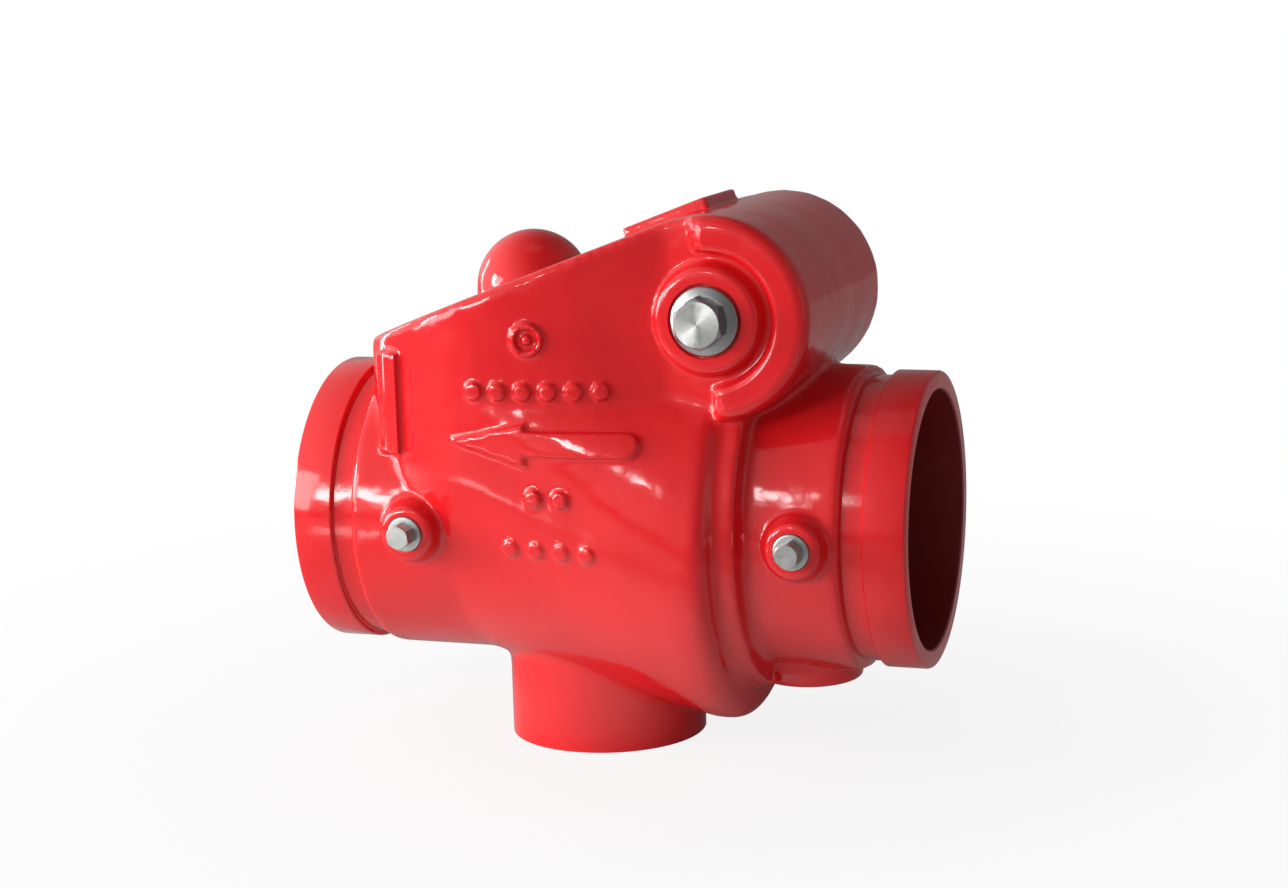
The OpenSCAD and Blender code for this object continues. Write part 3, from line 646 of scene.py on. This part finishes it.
def make_nut():
    """Hexagon nut behind the clapper, with its bore eased at both ends."""
    bm = bmesh.new()
    hexagon(bm, facing(at(103, 0, 0), (-1, 0, 0)), flats=17, height=8, chamfer=0.9, both=True)
    nut = piece_of(bm, "bolt_nut_tapped")
    cut = bmesh.new()
    bore_r = BOLT_R + 0.02
    turned(cut, [(0, 100), (5.9, 100), (5.9, 103), (bore_r, 103.9), (bore_r, 110.1), (5.9, 111), (5.9, 115),
                 (0, 115)], at(0, 0, 0), (-1, 0, 0), steps=48)
    join_or_cut(nut, cut, "DIFFERENCE")
    return nut


def make_lock_washer():
    """Split spring washer under the nut."""
    bm = bmesh.new()
    turned(bm, [(5.1, 101.05), (8.9, 101.05), (8.9, 102.95), (5.1, 102.95)], at(0, 0, 0), (-1, 0, 0),
           ease=0.25, start=math.radians(40), angle=math.radians(350), steps=72)
    return piece_of(bm, "lock_washer_split")


def spring_path():
    """Points of the torsion spring: its leg on the clapper, its coil, and its leg under the roof. Also half the
    coil's length."""
    centre = Vector((-HINGE_D, HINGE_Z))
    foot = Vector((-95 - WIRE_R - 0.1, 59))
    roof_d = 112
    head = Vector((-roof_d, HINGE_Z + ROOF_UP / math.cos(ROOF_SLOPE) - (roof_d - HINGE_D) * math.tan(ROOF_SLOPE)
                   - (WALL + WIRE_R) / math.cos(ROOF_SLOPE) - 0.3))

    def bearing(p):
        return math.atan2(p[1] - centre[1], p[0] - centre[0])

    def lean(p):
        return math.acos(COIL_R / (p - centre).length)

    start = bearing(foot) + lean(foot)
    leave = bearing(head) - lean(head)
    end = leave + math.tau * math.ceil((start - leave) / math.tau) + math.tau * (COIL_TURNS - 1)
    half_len = COIL_PITCH * (end - start) / math.tau / 2
    steps = 40 * COIL_TURNS
    coil = []
    for k in range(steps + 1):
        a = start + (end - start) * k / steps
        coil.append(Vector((centre[0] + COIL_R * math.cos(a), half_len * (2 * k / steps - 1),
                            centre[1] + COIL_R * math.sin(a))))
    foot_leg = [Vector((foot[0], -half_len, 38)), Vector((foot[0], -half_len, foot[1]))]
    head_leg = [Vector((head[0], half_len, head[1])),
                Vector((head[0] - 8, half_len, head[1] - 8 * math.tan(ROOF_SLOPE)))]
    return foot_leg, coil, head_leg, half_len


def make_spring():
    """Round wire wound into the torsion spring, its bends drawn as small arcs. Also gives half the coil's length."""
    foot_leg, coil, head_leg, half_len = spring_path()
    corners = [*foot_leg, coil[0]]
    corners_end = [coil[-1], *head_leg]

    def eased(a, b, c):
        """The corner at b as an arc of small steps."""
        near, far = (a - b).normalized() * 2.4, (c - b).normalized() * 2.4
        points = []
        for k in range(7):
            t = k / 6
            points.append((b + near) * (1 - t) ** 2 + b * (2 * t * (1 - t)) + (b + far) * t ** 2)
        return points

    path = [corners[0], *eased(*corners), *coil, *eased(*corners_end), corners_end[-1]]
    curve = bpy.data.curves.new("wire", "CURVE")
    curve.dimensions = "3D"
    curve.bevel_depth = WIRE_R * MM
    curve.bevel_resolution = 4
    curve.use_fill_caps = True
    line = curve.splines.new("POLY")
    line.points.add(len(path) - 1)
    for point, co in zip(line.points, path):
        point.co = (*(co * MM), 1)
    wire = bpy.data.objects.new("wire", curve)
    bpy.context.scene.collection.objects.link(wire)
    graph = bpy.context.evaluated_depsgraph_get()
    mesh = bpy.data.meshes.new_from_object(wire.evaluated_get(graph))
    bpy.data.objects.remove(wire)
    closed = bmesh.new()
    closed.from_mesh(mesh)
    bpy.data.meshes.remove(mesh)
    bmesh.ops.remove_doubles(closed, verts=closed.verts, dist=1e-7)
    bmesh.ops.recalc_face_normals(closed, faces=closed.faces)
    return piece_of(closed, "torsion_spring_wire"), half_len


# Finishes

def finish(name, colour, metallic, roughness):
    """A new material, with its node tree and its shader."""
    made = bpy.data.materials.new(name)
    made.use_nodes = True
    tree = made.node_tree
    shader = tree.nodes["Principled BSDF"]
    shader.inputs["Base Color"].default_value = (*colour, 1)
    shader.inputs["Metallic"].default_value = metallic
    shader.inputs["Roughness"].default_value = roughness
    return made, tree, shader


def feed(tree, socket, source):
    """Links a socket to another node's output, or sets it to a constant."""
    if isinstance(source, bpy.types.NodeSocket):
        tree.links.new(source, socket)
    else:
        socket.default_value = source


def maths(tree, operation, a, b):
    node = tree.nodes.new("ShaderNodeMath")
    node.operation = operation
    feed(tree, node.inputs[0], a)
    feed(tree, node.inputs[1], b)
    return node.outputs["Value"]


def vector_maths(tree, operation, a, b=None, gives="Vector"):
    node = tree.nodes.new("ShaderNodeVectorMath")
    node.operation = operation
    feed(tree, node.inputs[0], a)
    if b is not None:
        feed(tree, node.inputs[1], b)
    return node.outputs[gives]


def coordinates(tree):
    """The piece's own coordinates, in metres."""
    return tree.nodes.new("ShaderNodeTexCoord").outputs["Object"]


def noise(tree, scale, detail=3.0):
    """Cloudy pattern on the piece's own coordinates, with a scale in waves per metre."""
    cloud = tree.nodes.new("ShaderNodeTexNoise")
    cloud.inputs["Scale"].default_value = scale
    cloud.inputs["Detail"].default_value = detail
    tree.links.new(coordinates(tree), cloud.inputs["Vector"])
    return cloud.outputs["Fac"]


def ranged(tree, source, low, high, from_low=0.3, from_high=0.7):
    """Takes a value from one range to another, and holds it there. Noise mostly lies between 0.3 and 0.7."""
    spread = tree.nodes.new("ShaderNodeMapRange")
    for key, value in (("From Min", from_low), ("From Max", from_high), ("To Min", low), ("To Max", high)):
        spread.inputs[key].default_value = value
    tree.links.new(source, spread.inputs["Value"])
    return spread.outputs["Result"]


def between(tree, factor, a, b):
    """A colour between two, each a plain colour or another node's output. Inputs 6 and 7 are a Mix node's colours."""
    mix = tree.nodes.new("ShaderNodeMix")
    mix.data_type = "RGBA"
    tree.links.new(factor, mix.inputs["Factor"])
    for socket, colour in ((mix.inputs[6], a), (mix.inputs[7], b)):
        feed(tree, socket, colour if isinstance(colour, bpy.types.NodeSocket) else (*colour, 1))
    return mix.outputs[2]


def between_values(tree, factor, a, b):
    """A value between another node's output and a number. Inputs 2 and 3 are a Mix node's values."""
    mix = tree.nodes.new("ShaderNodeMix")
    tree.links.new(factor, mix.inputs[0])
    tree.links.new(a, mix.inputs[2])
    mix.inputs[3].default_value = b
    return mix.outputs[0]


def bumps(tree, shader, layers):
    """Layers of (pattern, height in metres), one over the other."""
    before = None
    for height, distance in layers:
        bump = tree.nodes.new("ShaderNodeBump")
        bump.inputs["Strength"].default_value = 1
        bump.inputs["Distance"].default_value = distance
        tree.links.new(height, bump.inputs["Height"])
        if before:
            tree.links.new(before, bump.inputs["Normal"])
        before = bump.outputs["Normal"]
    tree.links.new(before, shader.inputs["Normal"])


def red_coating():
    """Glossy red coating over a cast skin: faint waves of the casting and a fine orange peel. Inside the waterway the
    red is painted dark, a painted shade, and the coat there is rougher."""
    made, tree, shader = finish("red_coating", (0.70, 0.012, 0.016), 0, 0.12)
    from_axis = vector_maths(tree, "LENGTH", vector_maths(tree, "MULTIPLY", coordinates(tree), (0, 1, 1)),
                             gives="Value")
    # Painted shade: inside the waterway the colour is painted dark where the bore lies in shade
    inside = ranged(tree, from_axis, 1, 0, 0.0503, 0.0509)
    outer = between(tree, ranged(tree, noise(tree, 30), 0, 1), (0.72, 0.013, 0.017), (0.64, 0.009, 0.013))
    # the dark red here is the painted shade of the waterway
    tree.links.new(between(tree, inside, outer, (0.22, 0.011, 0.011)), shader.inputs["Base Color"])
    gloss = ranged(tree, noise(tree, 90), 0.09, 0.16)
    tree.links.new(maths(tree, "ADD", gloss, ranged(tree, inside, 0, 0.3, 0, 1)), shader.inputs["Roughness"])
    bumps(tree, shader, [(noise(tree, 24, 1), 0.0008), (noise(tree, 55, 2), 0.00045),
                         (noise(tree, 420, 1), 0.00003)])
    return made


def cast_steel():
    """Bare cast steel with the grain of its mould."""
    made, tree, shader = finish("cast_steel", (0.45, 0.44, 0.42), 1, 0.45)
    tree.links.new(between(tree, ranged(tree, noise(tree, 160), 0, 1), (0.52, 0.51, 0.49), (0.34, 0.33, 0.31)),
                   shader.inputs["Base Color"])
    tree.links.new(ranged(tree, noise(tree, 500), 0.38, 0.6), shader.inputs["Roughness"])
    bumps(tree, shader, [(noise(tree, 260, 3), 0.00025), (noise(tree, 1100, 2), 0.00006)])
    return made


def turned_metal(name, light, dark, roughness, centre=None, axis=(0, 1, 0), anisotropy=0.0, painted_dark_reflection=None):
    """Turned metal, finely mottled. With a centre, its gloss runs in rings about an axis. The last argument gives a
    radius in metres and a darker colour painted outside it, a painted dark reflection."""
    made, tree, shader = finish(name, light, 1, roughness)
    colour = between(tree, ranged(tree, noise(tree, 220), 0, 1), light, dark)
    tree.links.new(ranged(tree, noise(tree, 700), roughness * 0.85, roughness * 1.25), shader.inputs["Roughness"])
    bumps(tree, shader, [(noise(tree, 900, 2), 0.000002)])
    if centre is not None:
        from_centre = vector_maths(tree, "SUBTRACT", coordinates(tree), centre)
        round_it = vector_maths(tree, "CROSS_PRODUCT", from_centre, axis)
        to_world = tree.nodes.new("ShaderNodeVectorTransform")
        to_world.vector_type = "VECTOR"
        to_world.convert_from = "OBJECT"
        to_world.convert_to = "WORLD"
        tree.links.new(round_it, to_world.inputs["Vector"])
        tree.links.new(vector_maths(tree, "NORMALIZE", to_world.outputs["Vector"]), shader.inputs["Tangent"])
        shader.inputs["Anisotropic"].default_value = anisotropy
        # Painted dark reflection: outside the radius the colour is painted darker
        if painted_dark_reflection is not None:
            radius, painted_dark_colour = painted_dark_reflection
            off_axis = vector_maths(tree, "LENGTH", round_it, gives="Value")
            colour = between(tree, ranged(tree, off_axis, 0, 1, radius, radius + 0.0005), colour, painted_dark_colour)
    tree.links.new(colour, shader.inputs["Base Color"])
    return made


def black_rubber():
    """Moulded black rubber with a fine grain."""
    made, tree, shader = finish("rubber", (0.02, 0.02, 0.021), 0, 0.6)
    tree.links.new(between(tree, ranged(tree, noise(tree, 200), 0, 1), (0.018, 0.018, 0.019), (0.034, 0.033, 0.032)),
                   shader.inputs["Base Color"])
    tree.links.new(ranged(tree, noise(tree, 600), 0.5, 0.72), shader.inputs["Roughness"])
    bumps(tree, shader, [(noise(tree, 1500, 2), 0.00003)])
    return made


# Painted bright patches of light on the floor, a painted reflection that only the coating's reflections see: centre,
# inner and outer radius in metres, strength
PAINTED_FLOOR_LIGHTS = [((-0.14, -0.10), 0.05, 0.17, 0.8), ((0.12, -0.15), 0.10, 0.30, 0.2), ((-0.60, 0.10), 0.15, 0.36, 1.2),
                 ((-0.45, -0.45), 0.15, 0.50, 0.6), ((-0.37, -0.31), 0.02, 0.07, 5.0)]
FLOOR_GLOW = 0.26


def pale_floor():
    """Pale floor that shows as the white background and keeps a soft shadow. Reflections see painted light on it:
    painted bright patches and a painted shadow under the valve."""
    made, tree, shader = finish("pale_floor", (0.72, 0.72, 0.72), 0, 0.9)
    seen = tree.nodes.new("ShaderNodeLightPath").outputs
    place = coordinates(tree)

    def away_from(x, y):
        return vector_maths(tree, "DISTANCE", place, (x, y, FLOOR_Z * MM), gives="Value")

    total = None
    for (x, y), near, far, strength in PAINTED_FLOOR_LIGHTS:
        # each patch is painted light that the floor gives off for reflections
        painted_light_patch = ranged(tree, away_from(x, y), strength, 0, near, far)
        total = maths(tree, "ADD", total, painted_light_patch) if total else maths(tree, "ADD", painted_light_patch, FLOOR_GLOW)
    # Painted shadow: the glow that reflections see is painted darker under the valve
    painted_light_and_shadow = maths(tree, "MULTIPLY", total, ranged(tree, away_from(-0.11, 0.03), 0.15, 1, 0.05, 0.11))
    glow = tree.nodes.new("ShaderNodeEmission")
    tree.links.new(between_values(tree, seen["Is Camera Ray"], painted_light_and_shadow, 1), glow.inputs["Strength"])
    sharp = maths(tree, "MAXIMUM", seen["Is Camera Ray"], seen["Is Glossy Ray"])
    sharp = maths(tree, "MAXIMUM", sharp, seen["Is Transmission Ray"])
    share = maths(tree, "MULTIPLY", sharp, ranged(tree, away_from(-0.13, 0), 0.86, 1.0, 0.12, 0.5))
    mix = tree.nodes.new("ShaderNodeMixShader")
    tree.links.new(share, mix.inputs["Fac"])
    tree.links.new(shader.outputs["BSDF"], mix.inputs[1])
    tree.links.new(glow.outputs["Emission"], mix.inputs[2])
    tree.links.new(mix.outputs["Shader"], tree.nodes["Material Output"].inputs["Surface"])
    return made


# The studio

CENTRE = at(125, 0, 5)

# Camera, as fitted to the photograph: place in metres, angles, and focal length in pixels of its width
CAMERA_PLACE = Vector((0.1993, -0.9292, 0.2057))
AZIMUTH, ELEVATION, ROLL = (math.radians(a) for a in (18.84, 10.4, -1.57))
FOCAL_PIXELS = 2521.6
IMAGE_WIDTH = 1288
SENSOR_WIDTH = 36

# Soft lobes of the studio's light: direction and strength
STUDIO_LOBES = [((-1, 0, 0.2), 1.3), ((-0.58, -0.78, 0.2), 0.72), ((1, 0, 0.2), 0.33), ((0, 1, 0.3), 0.2)]


def studio_world():
    """White where the camera sees it. The object sees a studio: bright on the left and front left, dim elsewhere."""
    world = bpy.data.worlds.new("studio")
    bpy.context.scene.world = world
    world.use_nodes = True
    tree = world.node_tree
    back = tree.nodes["Background"]
    seen = tree.nodes.new("ShaderNodeLightPath")
    direction = tree.nodes.new("ShaderNodeTexCoord").outputs["Generated"]
    total = None
    for towards, strength in STUDIO_LOBES:
        along = vector_maths(tree, "DOT_PRODUCT", direction, Vector(towards).normalized(), gives="Value")
        ahead = ranged(tree, along, 0, 1, 0, 1)
        lobe = maths(tree, "MULTIPLY", maths(tree, "POWER", ahead, 2), strength)
        total = maths(tree, "ADD", total, lobe) if total else lobe
    for kind in ("Is Transmission Ray", "Is Camera Ray"):
        total = between_values(tree, seen.outputs[kind], total, 1)
    back.inputs["Color"].default_value = (1, 1, 1, 1)
    tree.links.new(total, back.inputs["Strength"])


def outwards(azimuth, elevation):
    """A direction away from the object, by its azimuth from the front towards +X and its elevation, in radians."""
    level = math.cos(elevation)
    return Vector((math.sin(azimuth) * level, -math.cos(azimuth) * level, math.sin(elevation)))


def softbox(name, azimuth, elevation, distance, width, height, power, aim=CENTRE):
    """A soft lamp, with its azimuth and elevation in degrees, its sizes in metres and its power in watts."""
    away = outwards(math.radians(azimuth), math.radians(elevation))
    lamp = bpy.data.lights.new(name, "AREA")
    lamp.shape = "RECTANGLE"
    lamp.size = width
    lamp.size_y = height
    lamp.energy = power
    obj = bpy.data.objects.new(name, lamp)
    obj.visible_camera = False
    obj.matrix_world = Matrix.Translation(aim + away * distance) @ away.to_track_quat("Z", "Y").to_matrix().to_4x4()
    bpy.context.scene.collection.objects.link(obj)


def camera_as_photographed():
    """Puts the camera where the photograph was taken from."""
    back = outwards(AZIMUTH, ELEVATION)
    level = Vector((0, 0, 1)).cross(back).normalized()
    up = back.cross(level)
    right = math.cos(ROLL) * level + math.sin(ROLL) * up
    up = -math.sin(ROLL) * level + math.cos(ROLL) * up
    camera = bpy.data.objects.new("camera", bpy.data.cameras.new("camera"))
    camera.data.sensor_width = SENSOR_WIDTH
    camera.data.lens = FOCAL_PIXELS * SENSOR_WIDTH / IMAGE_WIDTH
    camera.data.clip_end = 20
    camera.matrix_world = Matrix.Translation(CAMERA_PLACE) @ Matrix((right, up, back)).transposed().to_4x4()
    bpy.context.scene.collection.objects.link(camera)
    bpy.context.scene.camera = camera


camera_as_photographed()
studio_world()

# Each lamp's azimuth, elevation, distance, width, height and power
softbox("left_key", -58, 10, 1.3, 0.8, 0.5, 8)
softbox("left_core", -69, 13, 1.25, 0.12, 0.32, 4.2)
softbox("outlet_highlight", -28.5, 9.5, 1.1, 0.28, 0.15, 3, at(225, -50, 30))
softbox("left_strip", -112, 6, 0.65, 0.06, 0.45, 0.7)
softbox("inlet_streak", -17, 22.5, 1.1, 0.07, 0.11, 0.65, at(52, -55, 19))
softbox("right_fill", 80, 10, 1.3, 0.5, 0.5, 0.2)
softbox("top_fill", 0, 88, 1.3, 0.5, 0.5, 0.2)
bpy.context.scene.view_settings.view_transform = "Standard"

ground = bmesh.new()
bmesh.ops.create_grid(ground, x_segments=1, y_segments=1, size=4, matrix=Matrix.Translation(at(0, 0, FLOOR_Z)))
floor = piece_of(ground, "floor")
floor.data.materials.append(pale_floor())

HINGE_CENTRE = at(HINGE_D, 0, HINGE_Z)
coating = red_coating()
steel_casting = cast_steel()
stainless = turned_metal("stainless", (0.66, 0.65, 0.63), (0.55, 0.54, 0.52), 0.24, at(0, 0, 0), axis=(1, 0, 0),
                         anisotropy=0.6)
shaft_steel = turned_metal("shaft_stainless", (0.66, 0.65, 0.63), (0.55, 0.54, 0.52), 0.2)
plated = turned_metal("plated_steel", (0.50, 0.50, 0.48), (0.40, 0.40, 0.385), 0.34)
# The plug's hex sides and flange get a painted dark reflection outside the middle of the hex face
plug_steel = turned_metal("plug_plated_steel", (0.56, 0.56, 0.54), (0.48, 0.48, 0.46), 0.34, HINGE_CENTRE,
                          anisotropy=0.7, painted_dark_reflection=(0.0082, (0.34, 0.34, 0.345)))
wire_steel = turned_metal("spring_wire", (0.60, 0.59, 0.57), (0.48, 0.47, 0.45), 0.22)
bronze = turned_metal("bronze", (0.72, 0.48, 0.22), (0.60, 0.38, 0.16), 0.28)
rubber = black_rubber()

spring, spring_half = make_spring()

# Each piece, with the CAD node that it replaces, its body, its slot in the record and its finish
PIECES = [
    (make_body(), "valve_body", "body", "red_coating", coating),
    (ring_piece("seat_ring_turned", [
        (49.5, SEAT_D), (SEAT_RING_R, SEAT_D), (SEAT_RING_R, 68.7), (53.6, 68.7), (53.6, 72.3), (SEAT_RING_R, 72.3),
        (SEAT_RING_R, 77), (51, 77), (51, 80), (46, 80), (46, 67)], 160, 0.2), "seat_ring", "body", "bronze", bronze),
    (seal_ring_piece("seat_ring_seal", 54.8, 1.2, 70.5), "seat_ring_o_ring", "body", "rubber", rubber),
    (make_clapper(), "clapper", "clapper", "cast_steel", steel_casting),
    (ring_piece("clapper_seal_moulded", [
        (20, 83), (36.3, 83), (36.3, 81.1), (37.3, 80.1), (50.5, 80.1), (51.5, 81.1), (51.5, 86), (20, 86)], 128, 0.3),
     "clapper_seal", "clapper", "rubber", rubber),
    (ring_piece("seal_backing_plate", [(20, 86), (48.5, 86), (48.5, 87.5), (20, 87.5)]),
     "seal_backing_ring", "clapper", "stainless", stainless),
    (ring_piece("seal_retainer_plate", [(8.1, 80), (35, 80), (36, 81), (36, 83), (8.1, 83)], 128, 0.2),
     "seal_retainer", "clapper", "stainless", stainless),
    (ring_piece("seal_washer_plain", [(5.2, 78), (13, 78), (13, 80), (5.2, 80)], 64, 0.25),
     "seal_washer", "clapper", "plated_steel", plated),
    (seal_ring_piece("bolt_seal_ring", 6.5, 1.45, 81.5), "bolt_seal", "clapper", "rubber", rubber),
    (make_bolt(), "clapper_bolt", "clapper", "plated_steel", plated),
    (make_lock_washer(), "lock_washer", "clapper", "plated_steel", plated),
    (make_nut(), "bolt_nut", "clapper", "plated_steel", plated),
    (hinge_piece("hinge_shaft_ground", [(0, -48.4), (SHAFT_R, -48.4), (SHAFT_R, 49.5), (0, 49.5)], 64, 0.6),
     "hinge_shaft", "body", "stainless", shaft_steel),
    (hinge_piece("front_bushing_turned", [
        (SHAFT_R, -BUSHING_END_Y), (BUSHING_R, -BUSHING_END_Y), (BUSHING_R, -BUSHING_Y), (SHAFT_R, -BUSHING_Y)]),
     "front_shaft_bushing", "body", "bronze", bronze),
    (hinge_piece("rear_bushing_turned", [
        (SHAFT_R, BUSHING_Y), (BUSHING_R, BUSHING_Y), (BUSHING_R, BUSHING_END_Y), (SHAFT_R, BUSHING_END_Y)]),
     "rear_shaft_bushing", "body", "bronze", bronze),
    (hinge_piece("front_thrust_ring", [(SHAFT_R, -35.7), (10.5, -35.7), (10.5, -32.3), (SHAFT_R, -32.3)]),
     "front_thrust_washer", "body", "bronze", bronze),
    (hinge_piece("rear_thrust_ring", [(SHAFT_R, 32.3), (10.5, 32.3), (10.5, 35.7), (SHAFT_R, 35.7)]),
     "rear_thrust_washer", "body", "bronze", bronze),
    (make_shaft_plug(), "shaft_plug", "body", "plated_steel", plug_steel),
    (hinge_piece("plug_sealing_washer", [
        (10.5, PLUG_BOSS_Y), (PLUG_FLANGE_R, PLUG_BOSS_Y), (PLUG_FLANGE_R, -56.1), (10.5, -56.1)]),
     "shaft_plug_washer", "body", "bronze", bronze),
    (make_port_plug("inlet_port_plug_hex", INLET_PORT_D, -8), "inlet_port_plug", "body", "plated_steel", plated),
    (make_port_plug("outlet_port_plug_hex", OUTLET_PORT_D, 4), "outlet_port_plug", "body", "plated_steel", plated),
]
for piece, cad_node, cad_body, slot, skin in PIECES:
    piece.data.materials.clear()
    piece.data.materials.append(skin)
    shade(piece, 35)
    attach(piece, cad_body)
    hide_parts(cad_node)
spring.data.materials.append(wire_steel)
shade(spring, 60)
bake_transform(spring)
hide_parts("torsion_spring")
